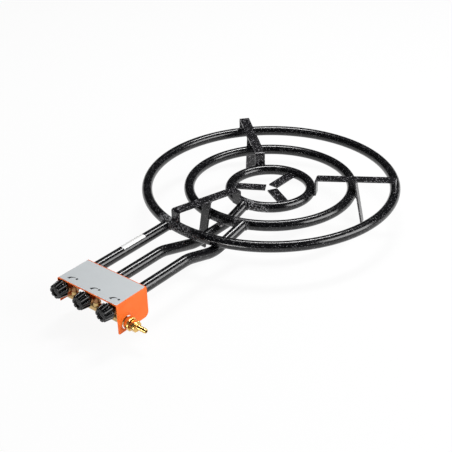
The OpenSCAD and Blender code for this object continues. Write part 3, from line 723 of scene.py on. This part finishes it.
@dataclass
class RingBurners(Assembly):
    """Rings and feed tubes with the welds that join them."""

    bead: float = 2.3 * MM
    tie_bead: float = 2.4 * MM
    tie_aways: tuple[float, ...] = (-8 * MM, -5 * MM, -2 * MM)
    tie_sides: tuple[float, ...] = (3 * MM, 5 * MM, 7 * MM, 9 * MM, 11 * MM)
    line_steps: int = 48
    search: float = 45 * MM
    search_step: float = 0.25 * MM
    touch: float = 0.3 * MM
    joint_seed: int = 3
    tie_seed: int = 5

    def joint(self, ring: Ring, x: float, height: float, slope: float) -> list[Vector]:
        """Closed line along which a feed tube meets a ring.

        Args:
            ring: The ring.
            x: The tube's x.
            height: Height at which the tube's axis crosses the ring's circle.
            slope: The tube's rise in degrees.

        Returns:
            Points of the line.
        """
        lay = self.layout
        aim = Vector((x, lay.axis_y - math.sqrt(ring.reach ** 2 - x * x), height))
        run = Vector((0.0, math.cos(math.radians(slope)), math.sin(math.radians(slope))))
        up = Vector((0.0, -run.z, run.y))
        line = []
        for k in range(self.line_steps + 1):
            turn = math.tau * k / self.line_steps
            start = aim + lay.tube_r * (Vector((math.cos(turn), 0.0, 0.0)) + up * math.sin(turn))
            step = -self.search
            while step < 0.0 and self.clearance(ring, start + run * step) > self.touch:
                step += self.search_step
            line.append(start + run * min(step, 0.0))
        return line

    def tie(self, ring: Ring, x: float, height: float) -> list[list[Vector]]:
        """Welds that fill the corner between a ring and the right side of the feed tube under it.

        Args:
            ring: The ring.
            x: The tube's x.
            height: Height of the tube's axis under the ring's circle.

        Returns:
            Points of each weld.
        """
        r, aim_y = self.layout.tube_r, self.layout.axis_y - math.sqrt(ring.reach ** 2 - x * x)
        lines = []
        for away in self.tie_aways:
            low = ring.height - math.sqrt(r * r - away * away)
            heights = [(height + math.sqrt(r * r - side * side) + low) / 2 for side in self.tie_sides]
            lines.append([Vector((x + side, aim_y + away, z)) for side, z in zip(self.tie_sides, heights)])
        return lines

    def clearance(self, ring: Ring, point: Vector) -> float:
        """Distance from a point to a ring's surface."""
        away = math.hypot(point.x, point.y - self.layout.axis_y) - ring.reach
        return math.hypot(away, point.z - ring.height) - self.layout.tube_r

    def build(self, welder: Welder) -> None:
        """Dresses the tubes and lays their welds.

        Args:
            welder: What lays them.
        """
        names = ("outer", "middle", "inner")
        self.dress(self.finishes.ring, *(n + "_ring" for n in names))
        self.dress(self.finishes.tube, *(n + "_ring_feed" for n in names))
        lay = self.layout
        lines = [self.joint(lay.outer, Side.LEFT.value, lay.feed_z, 0.0),
                 self.joint(lay.middle, Side.RIGHT.value, lay.middle.height, lay.middle_slope),
                 self.joint(lay.inner, Side.CENTRE.value, lay.inner.height, lay.inner_slope)]
        welds = welder.lay("feed_tube_welds", lines, self.bead, self.joint_seed, self.finishes.weld)
        self.place(welds, "burner", "black_enamel")
        ties = self.tie(lay.middle, Side.CENTRE.value, lay.dip_z)
        tied = welder.lay("crossing_welds", ties, self.tie_bead, self.tie_seed, self.finishes.slag)
        self.place(tied, "burner", "black_enamel")


@dataclass
class PanFrame(Assembly):
    """Supports, legs and fins with their welds."""

    bead: float = 1.7 * MM
    line_steps: int = 12
    tab_bite: float = 1.2 * MM
    tab_stand: float = 1.4 * MM
    tab_heights: tuple[float, ...] = (-1 * MM, 2 * MM, 5 * MM, 8 * MM)
    leg_tuck: float = 0.4 * MM
    leg_stand: float = 0.5 * MM
    leg_under: float = 0.6 * MM
    leg_edge: float = 0.2 * MM
    leg_heights: tuple[float, ...] = (-5 * MM, -2 * MM, 1 * MM, 4 * MM, 7 * MM)
    leg_high: float = 7.5 * MM
    fin_stand: float = 0.4 * MM
    first_seed: int = 11

    def sides(self) -> list[float]:
        """Distances to the side, from one edge of a bar to the other."""
        return [self.layout.bar_w / 2 * (2 * k / self.line_steps - 1) for k in range(self.line_steps + 1)]

    def across(self, turn: float, reach: float, height: Callable[[float], float]) -> list[Vector]:
        """Line across the bar at a turn and a reach, with its heights by distance to the side."""
        return [self.layout.at(turn, reach, side, height(side)) for side in self.sides()]

    def on_ring(self, ring: Ring, reach: float, side: float) -> float:
        """Height of a ring's upper surface at a place beside a bar's middle line."""
        away = math.hypot(reach, side) - ring.reach
        return ring.height + math.sqrt(max(0.0, self.layout.tube_r ** 2 - away * away))

    def support_lines(self, turn: float) -> list[list[Vector]]:
        """Finds the welds of a support, on the outer ring and against the inner one.

        Args:
            turn: Direction of the support in degrees.

        Returns:
            Points of each weld.
        """
        lay = self.layout
        lines = []
        for reach in (lay.outer.reach - lay.bar_t / 2, lay.outer.reach + lay.bar_t / 2):
            lines.append(self.across(turn, reach, lambda side, r=reach: self.on_ring(lay.outer, r, side)))
        near = lay.inner.reach + lay.tube_r - self.tab_bite
        lines.append(self.across(turn, near, lambda side: self.on_ring(lay.inner, near, side)))
        heights = [lay.inner.height + h for h in self.tab_heights]
        for side in (-lay.bar_w / 2, lay.bar_w / 2):
            lines.append([lay.at(turn, near + self.tab_stand, side, z) for z in heights])
        return lines

    def leg_lines(self, turn: float) -> list[list[Vector]]:
        """Finds the welds of a leg, against the middle ring and under the support's bar.

        Args:
            turn: Direction of the leg in degrees.

        Returns:
            Points of each weld.
        """
        lay = self.layout
        lean, fall = math.tan(math.radians(lay.leg_splay)), math.tan(math.radians(lay.bar_fall))
        face = lay.middle.reach + lay.tube_r / math.cos(math.radians(lay.leg_splay))

        def inner_face(height: float) -> float:
            """Distance of the leg's inner face from the rings' axis."""
            return face - (height - lay.middle.height) * lean

        lines = []
        for shift in (-self.leg_tuck, lay.bar_t + self.leg_stand):
            start = inner_face(0.0) + shift
            top = (lay.under_z + (start - lay.under_reach) * fall) / (1 + lean * fall) - self.leg_under
            lines.append(self.across(turn, inner_face(top) + shift, lambda side, z=top: z))
        heights = [lay.middle.height + h for h in self.leg_heights]
        for side in (-lay.bar_w / 2, lay.bar_w / 2):
            lines.append([lay.at(turn, inner_face(z) + self.leg_edge, side, z) for z in heights])
        high = lay.middle.height + self.leg_high
        lines.append(self.across(turn, inner_face(high) - self.leg_under, lambda side: high))
        return lines

    def fin_lines(self, turn: float) -> list[list[Vector]]:
        """Finds the welds of a fin, above and below it on the inside of the inner ring.

        Args:
            turn: Direction of the fin in degrees.

        Returns:
            Points of each weld.
        """
        lay = self.layout
        rim = lay.inner.reach - lay.tube_r
        lines = []
        for step in (-1, 1):
            height = lay.inner.height + step * (lay.bar_t / 2 + self.fin_stand)
            lines.append([lay.at(turn, math.sqrt(rim * rim - side * side), side, height) for side in self.sides()])
        return lines

    def build(self, welder: Welder) -> None:
        """Dresses the bars and lays their welds.

        Args:
            welder: What lays them.
        """
        for arm in ("front", "right", "rear"):
            self.dress(self.finishes.bar, arm + "_pan_support", arm + "_leg")
        self.dress(self.finishes.bar, "right_fin", "rear_fin", "left_fin")
        lay = self.layout
        groups = {"support_welds": [line for t in lay.support_turns for line in self.support_lines(t)],
                  "leg_welds": [line for t in lay.support_turns for line in self.leg_lines(t)],
                  "fin_welds": [line for t in lay.fin_turns for line in self.fin_lines(t)]}
        for seed, (name, lines) in enumerate(groups.items(), self.first_seed):
            welds = welder.lay(name, lines, self.bead, seed, self.finishes.weld)
            self.place(welds, "burner", "black_enamel")


@dataclass
class ControlCover(Assembly):
    """Folded cover with its bare label, the marks by the knobs and the tube's sticker."""

    label_half: float = 83 * MM
    label_front: float = -447.75 * MM
    label_rear: float = -365.75 * MM
    label_low: float = 94 * MM
    label_rows: tuple[tuple[float, float], ...] = ((0.0, 0.0), (0.0, 0.3 * MM), (0.1 * MM, 0.4 * MM))
    corner: float = 3 * MM
    corner_steps: int = 48
    mark_starts: tuple[float, ...] = (-64 * MM, 1 * MM, 56 * MM)
    mark_y: float = -440 * MM
    mark_r: float = 11 * MM
    mark_z: float = 94.43 * MM
    ink_t: float = 0.03 * MM
    wedge_from: float = 172.0
    wedge_sweep: float = 86.0
    wedge_half: float = 2.7 * MM
    wedge_tip: float = 0.65 * MM
    wedge_taper: float = 1.5
    dot_r: float = 2.7 * MM
    dot_right: float = 6 * MM
    dot_back: float = 1.5 * MM
    mark_steps: int = 24

    def label(self) -> Any:
        """Makes the bare label with rounded corners and a softened upper edge.

        Returns:
            The object.
        """
        count, middle = self.corner_steps, (self.label_front + self.label_rear) / 2
        flat_x, flat_y = self.label_half - self.corner, (self.label_rear - self.label_front) / 2 - self.corner
        points = []
        for inset, height in self.label_rows:
            for k in range(count):
                turn = math.tau * (k + 0.5) / count
                c, s = math.cos(turn), math.sin(turn)
                points.append(Vector((math.copysign(flat_x, c) + (self.corner - inset) * c,
                                      middle + math.copysign(flat_y, s) + (self.corner - inset) * s,
                                      self.label_low + height)))
        loops = [list(range(start, start + count)) for start in range(0, len(points), count)]
        faces = [loops[0], loops[-1]] + bands(loops)
        return joined("bare_label", points, faces, self.finishes.foil, SHARP_ANGLE)

    def wedge(self, start: float) -> list[tuple[Vector, Vector]]:
        """Finds the outline of a flame mark, which is an arc that tapers.

        Args:
            start: x of its thick end.

        Returns:
            Inner and outer points along it.
        """
        pairs = []
        for k in range(self.mark_steps + 1):
            share = k / self.mark_steps
            turn = math.radians(self.wedge_from - self.wedge_sweep * share)
            half = self.wedge_half * (1 - share) ** self.wedge_taper + self.wedge_tip
            centre = Vector((start + self.mark_r, self.mark_y, self.mark_z))
            arm = Vector((math.cos(turn), math.sin(turn), 0.0))
            pairs.append((centre + arm * (self.mark_r - half), centre + arm * (self.mark_r + half)))
        return pairs

    def marks(self) -> Any:
        """Makes the printed arcs and dots as one thin piece.

        Returns:
            The object.
        """
        points: list[Vector] = []
        faces: list[list[int]] = []
        lift = Vector((0.0, 0.0, self.ink_t))

        def patch(outline: list[Vector], quads: list[list[int]]) -> None:
            """Adds a flat shape as a closed wafer.

            Args:
                outline: Its corners.
                quads: Faces that fill it, by corner.
            """
            base, count = len(points), len(outline)
            points.extend(outline)
            points.extend(p + lift for p in outline)
            faces.extend([base + i for i in quad] for quad in quads)
            faces.extend([base + count + i for i in quad] for quad in quads)
            faces.extend(bands([range(base, base + count), range(base + count, base + 2 * count)]))

        for start in self.mark_starts:
            pairs = self.wedge(start)
            outline = [p[0] for p in pairs] + [p[1] for p in reversed(pairs)]
            last = len(outline) - 1
            patch(outline, [[k, k + 1, last - k - 1, last - k] for k in range(len(pairs) - 1)])
            centre = Vector((start + self.mark_r + self.dot_right, self.mark_y + self.mark_r - self.dot_back,
                             self.mark_z))
            turns = [math.tau * k / self.mark_steps for k in range(self.mark_steps)]
            patch([centre + self.dot_r * Vector((math.cos(turn), math.sin(turn), 0.0)) for turn in turns],
                  [list(range(self.mark_steps))])
        return joined("label_marks", points, faces, self.finishes.ink, SHARP_ANGLE)

    def build(self) -> None:
        """Dresses the sheet, label and sticker, and prints the marks."""
        self.dress(self.finishes.paint, "control_cover")
        self.dress(self.finishes.foil, "cover_label")
        self.dress(self.finishes.film, "tube_sticker")
        self.place(self.label(), "burner", "label_foil", "cover_label")
        self.place(self.marks(), "burner", "label_foil")


@dataclass
class GasTrain(Assembly):
    """Manifold, inlet and taps."""

    push: float = 3 * MM
    spring_wire: float = 0.7 * MM
    spring_turns: int = 4
    steps_per_turn: int = 24
    wire_sides: int = 8
    hex_rim_share: float = 0.985
    hex_cut: float = 1.3
    inlet_segments: int = 144
    nut_segments: int = 96

    def hexagon(self, start: float, end: float, flats: float) -> list[Station]:
        """Stations of a hexagon with turned corners, in millimetres, by its ends and its size across flats."""
        corner, rim, cut = flats / math.sqrt(3), flats / 2 * self.hex_rim_share, self.hex_cut
        return [(start, rim, flats), (start + cut, corner, flats), (end - cut, corner, flats), (end, rim, flats)]

    def turned(self, node: str, axis: Axis, place: Vector, rows: list[Station], segments: int, looped: bool,
               finish: Material, slot: str) -> None:
        """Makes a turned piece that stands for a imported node.

        Args:
            node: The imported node.
            axis: Direction that the piece lies along.
            place: Place that its stations are measured from.
            rows: Its stations in millimetres.
            segments: Number of faces around it.
            looped: Whether its last station joins its first.
            finish: Its material.
            slot: Material slot of the record.
        """
        profile = [(x * MM, lambda t, r=r * MM, f=flats * MM: hexed(t, r, f)) for x, r, flats in rows]
        piece = Turning(node + "_turned", axis, place, profile, segments, looped)
        self.place(piece.build(finish), "burner", slot, node)

    def inlet(self) -> None:
        """Makes the adapter and the hose nozzle."""
        adapter = [(87, 10.1, 0), *self.hexagon(87, 99, 27), (99, 5.1, 0), (95, 5.1, 0), (95, 10.1, 0)]
        nozzle = [(95, 5, 0), (101, 5, 0), *self.hexagon(101, 113, 22), (113, 7.2, 0), (113.6, 6.6, 0),
                  (114.1, 4.7, 0), (114.7, 4.4, 0), (115.8, 4.4, 0)]
        for crest in (116, 123, 130):
            nozzle += [(crest, 5.05, 0), (crest + 0.35, 5.4, 0), (crest + 2.0, 5.4, 0), (crest + 2.4, 5.3, 0),
                       (crest + 6.6, 4.45, 0)]
        nozzle += [(136.75, 4.1, 0), (137, 3.8, 0), (137, 3.0, 0), (136.7, 2.75, 0), (95, 2.75, 0)]
        for node, rows in (("inlet_adapter", adapter), ("hose_nozzle", nozzle)):
            self.turned(node, Axis.X, self.layout.inlet(), rows, self.inlet_segments, True,
                        self.finishes.brass_across, "brass")

    def screw(self) -> None:
        """Makes the screw that holds the cover, with a washer face under its head."""
        rows = [(-90.3, 0, 0), (-90.3, 4, 0), (-90.6, 4.6, 0), *self.hexagon(-90.6, -86.6, 10), (-86.6, 3, 0),
                (-75.2, 3, 0), (-74.6, 2.4, 0), (-74.6, 0, 0)]
        self.turned("cover_screw", Axis.X, self.layout.inlet(), rows, self.nut_segments, False,
                    self.finishes.zinc_across, "zinc_steel")

    def bonnet(self, side: Side) -> None:
        """Makes one tap's bonnet nut.

        Args:
            side: The tap.
        """
        rows = [(-24, 4.05, 0), (-24, 9.5, 0), *self.hexagon(-23.6, -12, 24), (-12, 9.6, 0), (-20, 9.6, 0),
                (-20, 4.05, 0)]
        self.turned(side.word + "_bonnet_nut", Axis.Y, self.layout.tap(side), rows, self.nut_segments, True,
                    self.finishes.brass_along, "brass")

    def spring(self, side: Side) -> None:
        """Makes one tap's return spring.

        Args:
            side: The tap.
        """
        low, high = (Vector(corner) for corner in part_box(side.word + "_valve_spring"))
        middle, wire = (low + high) / 2, self.spring_wire / 2
        reach, length = (high.x - low.x) / 2 - wire, high.y - low.y
        steps, sides = self.spring_turns * self.steps_per_turn, self.wire_sides
        points: list[Vector] = []
        for step in range(steps + 1):
            turn = math.tau * step / self.steps_per_turn
            arm = Vector((math.cos(turn), 0.0, math.sin(turn)))
            y = low.y + wire + (length - self.spring_wire) * step / steps
            for k in range(sides):
                around = math.tau * k / sides
                offset = arm * (reach + wire * math.cos(around))
                points.append(Vector((middle.x, y + wire * math.sin(around), middle.z)) + offset)
        loops = [list(range(start, start + sides)) for start in range(0, len(points), sides)]
        faces = bands(loops) + [loops[0], loops[-1]]
        coil = joined(side.word + "_spring_coil", points, faces, self.finishes.zinc_along)
        self.place(coil, side.word + "_plug", "zinc_steel", side.word + "_valve_spring")
        (length - self.push) / length
        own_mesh(coil)

    def build(self) -> None:
        """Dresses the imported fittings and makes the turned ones."""
        self.dress(self.finishes.brass_inside, "gas_manifold", "manifold_end_plug")
        self.dress(self.finishes.brass_across, "inlet_adapter", "hose_nozzle")
        self.dress(self.finishes.zinc_across, "cover_screw", "cover_washer")
        self.dress(self.finishes.fibre, "nozzle_seal")
        self.inlet()
        self.screw()
        for side in Side:
            self.dress(self.finishes.brass_along, *(f"{side.word}_{piece}" for piece in (
                "valve_body", "valve_plug", "bonnet_nut", "gas_injector")))
            self.dress(self.finishes.zinc_along, *(f"{side.word}_{piece}" for piece in (
                "valve_stem", "valve_spring", "mixer_bush")))
            self.bonnet(side)
            self.spring(side)


@dataclass
class Knobs(Assembly):
    """The three lobed knobs, which ride on their stems, with sizes measured forwards from the rear face."""

    rear: float = -30 * MM
    length: float = 22 * MM
    rear_core: float = 12.8 * MM
    front_core: float = 11.6 * MM
    lobe_r: float = 4.0 * MM
    rear_lobe: float = 15.25 * MM
    front_lobe: float = 12.0 * MM
    crest: float = 0.75 * MM
    lobes: int = 8
    segments: int = 192
    bore: float = 4.05 * MM
    bore_len: float = 17 * MM
    bore_edge: float = 0.4 * MM
    bore_lift: float = 0.3 * MM
    seat_r: float = 11.5 * MM
    rear_edge: float = 0.9 * MM
    rear_lift: float = 0.25 * MM
    front_edge: float = 1.4 * MM
    front_back: float = 0.5 * MM
    front_share: float = 0.97
    side_shares: tuple[float, float] = (0.04, 0.93)
    side_steps: int = 8
    edge_steps: int = 4
    blend: int = 18
    sharp: float = 40.0
    face: tuple[tuple[float, float], ...] = (
        (0.5, 10.0), (0.2, 9.8), (0.0, 9.3), (0.0, 8.9), (0.25, 8.5), (2.1, 8.1), (2.5, 7.7), (2.5, 4.4),
        (2.3, 3.9), (1.9, 3.0), (1.8, 0.0))

    def outline(self, turn: float, share: float) -> float:
        """Radius of the lobed outline.

        Args:
            turn: Angle about the axis in radians.
            share: 0 at the rear and 1 at the front.

        Returns:
            The radius.
        """
        core = self.rear_core + (self.front_core - self.rear_core) * share
        centre = self.rear_lobe + (self.front_lobe - self.rear_lobe) * share
        pitch = math.tau / self.lobes
        off = (turn + pitch / 2) % pitch - pitch / 2
        inside = self.lobe_r ** 2 - (centre * math.sin(off)) ** 2
        lobe = centre * math.cos(off) + math.sqrt(inside) if inside > 0 else 0.0
        rounded = (core ** self.blend + lobe ** self.blend) ** (1 / self.blend)
        return min(rounded, centre + self.lobe_r - self.crest)

    def profile(self) -> Profile:
        """Lists the stations of a knob, from the bore's end round to the middle of the front.

        Returns:
            Distance along +Y from the rear and radius by turn.
        """
        edge, low, high = self.front_edge, *self.side_shares
        rows: Profile = [
            (self.bore_len, lambda t: 0.0), (self.bore_len, lambda t: self.bore),
            (self.bore_lift, lambda t: self.bore), (0.0, lambda t: self.bore + self.bore_edge),
            (0.0, lambda t: self.seat_r),
            (0.0, lambda t: self.outline(t, 0.0) - self.rear_edge),
            (self.rear_lift, lambda t: self.outline(t, 0.0) - self.rear_lift)]
        for k in range(self.side_steps + 1):
            share = low + (high - low) * k / self.side_steps
            rows.append((share * self.length, lambda t, s=share: self.outline(t, s)))
        for k in range(1, self.edge_steps + 1):
            turn = math.pi / 2 * k / self.edge_steps
            forward = self.length - self.front_back - edge * (1 - math.sin(turn))
            rows.append((forward, lambda t, c=math.cos(turn): self.outline(t, self.front_share) - edge * (1 - c)))
        rows += [(self.length - back * MM, lambda t, r=reach: r * MM) for back, reach in self.face]
        return [(-forward, radius) for forward, radius in rows]

    def build(self) -> None:
        """Makes the knobs and puts each on its stem."""
        for side in Side:
            self.dress(self.finishes.plastic, side.word + "_knob")
            place = self.layout.tap(side) + Vector((0.0, self.rear, 0.0))
            knob = Turning(side.word + "_lobed_knob", Axis.Y, place, self.profile(), self.segments,
                           sharp=self.sharp)
            self.place(knob.build(self.finishes.plastic), side.word + "_stem", "black_plastic", side.word + "_knob")


# Studio


@dataclass(frozen=True)
class Softbox:
    """Rectangular lamp that looks at a point."""

    name: str
    place: Triple
    aim: Triple
    size: tuple[float, float]
    roll: float
    power: float

    def build(self) -> None:
        """Makes the lamp, rolled about its own axis by degrees."""
        lamp = bpy.data.lights.new(self.name, "AREA")
        lamp.shape = "RECTANGLE"
        lamp.size, lamp.size_y = self.size
        lamp.energy = self.power
        made = bpy.data.objects.new(self.name, lamp)
        view = Vector(self.aim) - Vector(self.place)
        made.matrix_world = (Matrix.Translation(self.place) @ view.to_track_quat("-Z", "Y").to_matrix().to_4x4()
                             @ Matrix.Rotation(math.radians(self.roll), 4, "Z"))
        bpy.context.scene.collection.objects.link(made)


@dataclass
class Studio:
    """White floor, soft lamps, dim surroundings and the photograph's camera."""

    camera_place: Triple = (1.2173, -1.46315, 1.1513)
    right: Triple = (0.7747, 0.6319, -0.0217)
    up: Triple = (-0.3053, 0.4039, 0.8623)
    lens: float = 74.9
    sensor: float = 36.0
    floor_half: float = 9.0
    floor_drop: float = 0.3 * MM
    floor_glow: float = 0.93
    floor_tone: float = 0.92
    room: Colour = (0.97, 0.98, 1.0)
    sight: float = 60.0
    ambient: float = 0.035
    lamps: tuple[Softbox, ...] = (
        Softbox("high_strip", (-0.64, 1.03, 2.78), (0.15, -0.05, 0.09), (1.0, 0.40), 0.0, 40.0),
        Softbox("tube_strip", (-0.24, 1.55, 2.50), (0.0, -0.30, 0.09), (0.60, 0.30), 45.0, 20.0),
        Softbox("right_box", (2.49, 0.75, 1.36), (0.15, -0.10, 0.09), (2.2, 1.6), -15.0, 84.0),
        Softbox("front_strip", (0.10, -2.40, 0.12), (0.10, 0.0, 0.08), (1.5, 0.26), 0.0, 24.0),
    )

    def floor(self) -> None:
        """Makes the floor, which is white to the camera and in reflections and still takes shadow."""
        half, z = self.floor_half, -self.floor_drop
        shader = Shader("white_floor")
        path = shader.node("ShaderNodeLightPath")
        seen = shader.out(path, "Is Camera Ray").larger(shader.out(path, "Is Glossy Ray")).larger(
            shader.out(path, "Is Transmission Ray"))
        plain = shader.node("ShaderNodeBsdfDiffuse", {"Color": (*[self.floor_tone] * 3, 1.0)})
        glow = shader.node("ShaderNodeEmission", {"Color": (1.0, 1.0, 1.0, 1.0), "Strength": 1.0})
        both = shader.node("ShaderNodeMixShader", {
            0: seen * self.floor_glow, 1: shader.out(plain), 2: shader.out(glow)})
        shader.node("ShaderNodeOutputMaterial", {"Surface": shader.out(both)})
        corners = [Vector((x * half, y * half, z)) for x, y in ((-1, -1), (1, -1), (1, 1), (-1, 1))]
        joined("studio_floor", corners, [[0, 1, 2, 3]], shader.material)

    def surroundings(self) -> None:
        """Makes the dim room that the lamps stand in."""
        world = bpy.data.worlds.new("dim_room")
        world.use_nodes = True
        back = world.node_tree.nodes["Background"]
        back.inputs["Color"].default_value = (*self.room, 1.0)
        back.inputs["Strength"].default_value = self.ambient
        bpy.context.scene.world = world

    def camera(self) -> None:
        """Makes the camera at the photograph's place."""
        right, up = Vector(self.right).normalized(), Vector(self.up).normalized()
        back = right.cross(up).normalized()
        up = back.cross(right)
        data = bpy.data.cameras.new("photo_camera")
        data.lens, data.sensor_width, data.sensor_fit = self.lens, self.sensor, "HORIZONTAL"
        data.clip_end = self.sight
        made = bpy.data.objects.new("photo_camera", data)
        turn = Matrix((right, up, back)).transposed().to_4x4()
        made.matrix_world = Matrix.Translation(self.camera_place) @ turn
        bpy.context.scene.collection.objects.link(made)
        bpy.context.scene.camera = made

    def build(self) -> None:
        """Sets up the whole studio."""
        self.floor()
        self.surroundings()
        self.camera()
        for lamp in self.lamps:
            lamp.build()
        bpy.context.scene.view_settings.view_transform = "Standard"


def main() -> None:
    """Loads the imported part, dresses it and sets up the studio."""
    logging.basicConfig(level=logging.INFO, format="%(message)s")
    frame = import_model()
    nodes, finishes = frame["nodes"], Finishes()
    welder = Welder()
    Studio().build()
    RingBurners(nodes, finishes).build(welder)
    PanFrame(nodes, finishes).build(welder)
    ControlCover(nodes, finishes).build()
    GasTrain(nodes, finishes).build()
    Knobs(nodes, finishes).build()


if __name__ == "__main__":
    main()
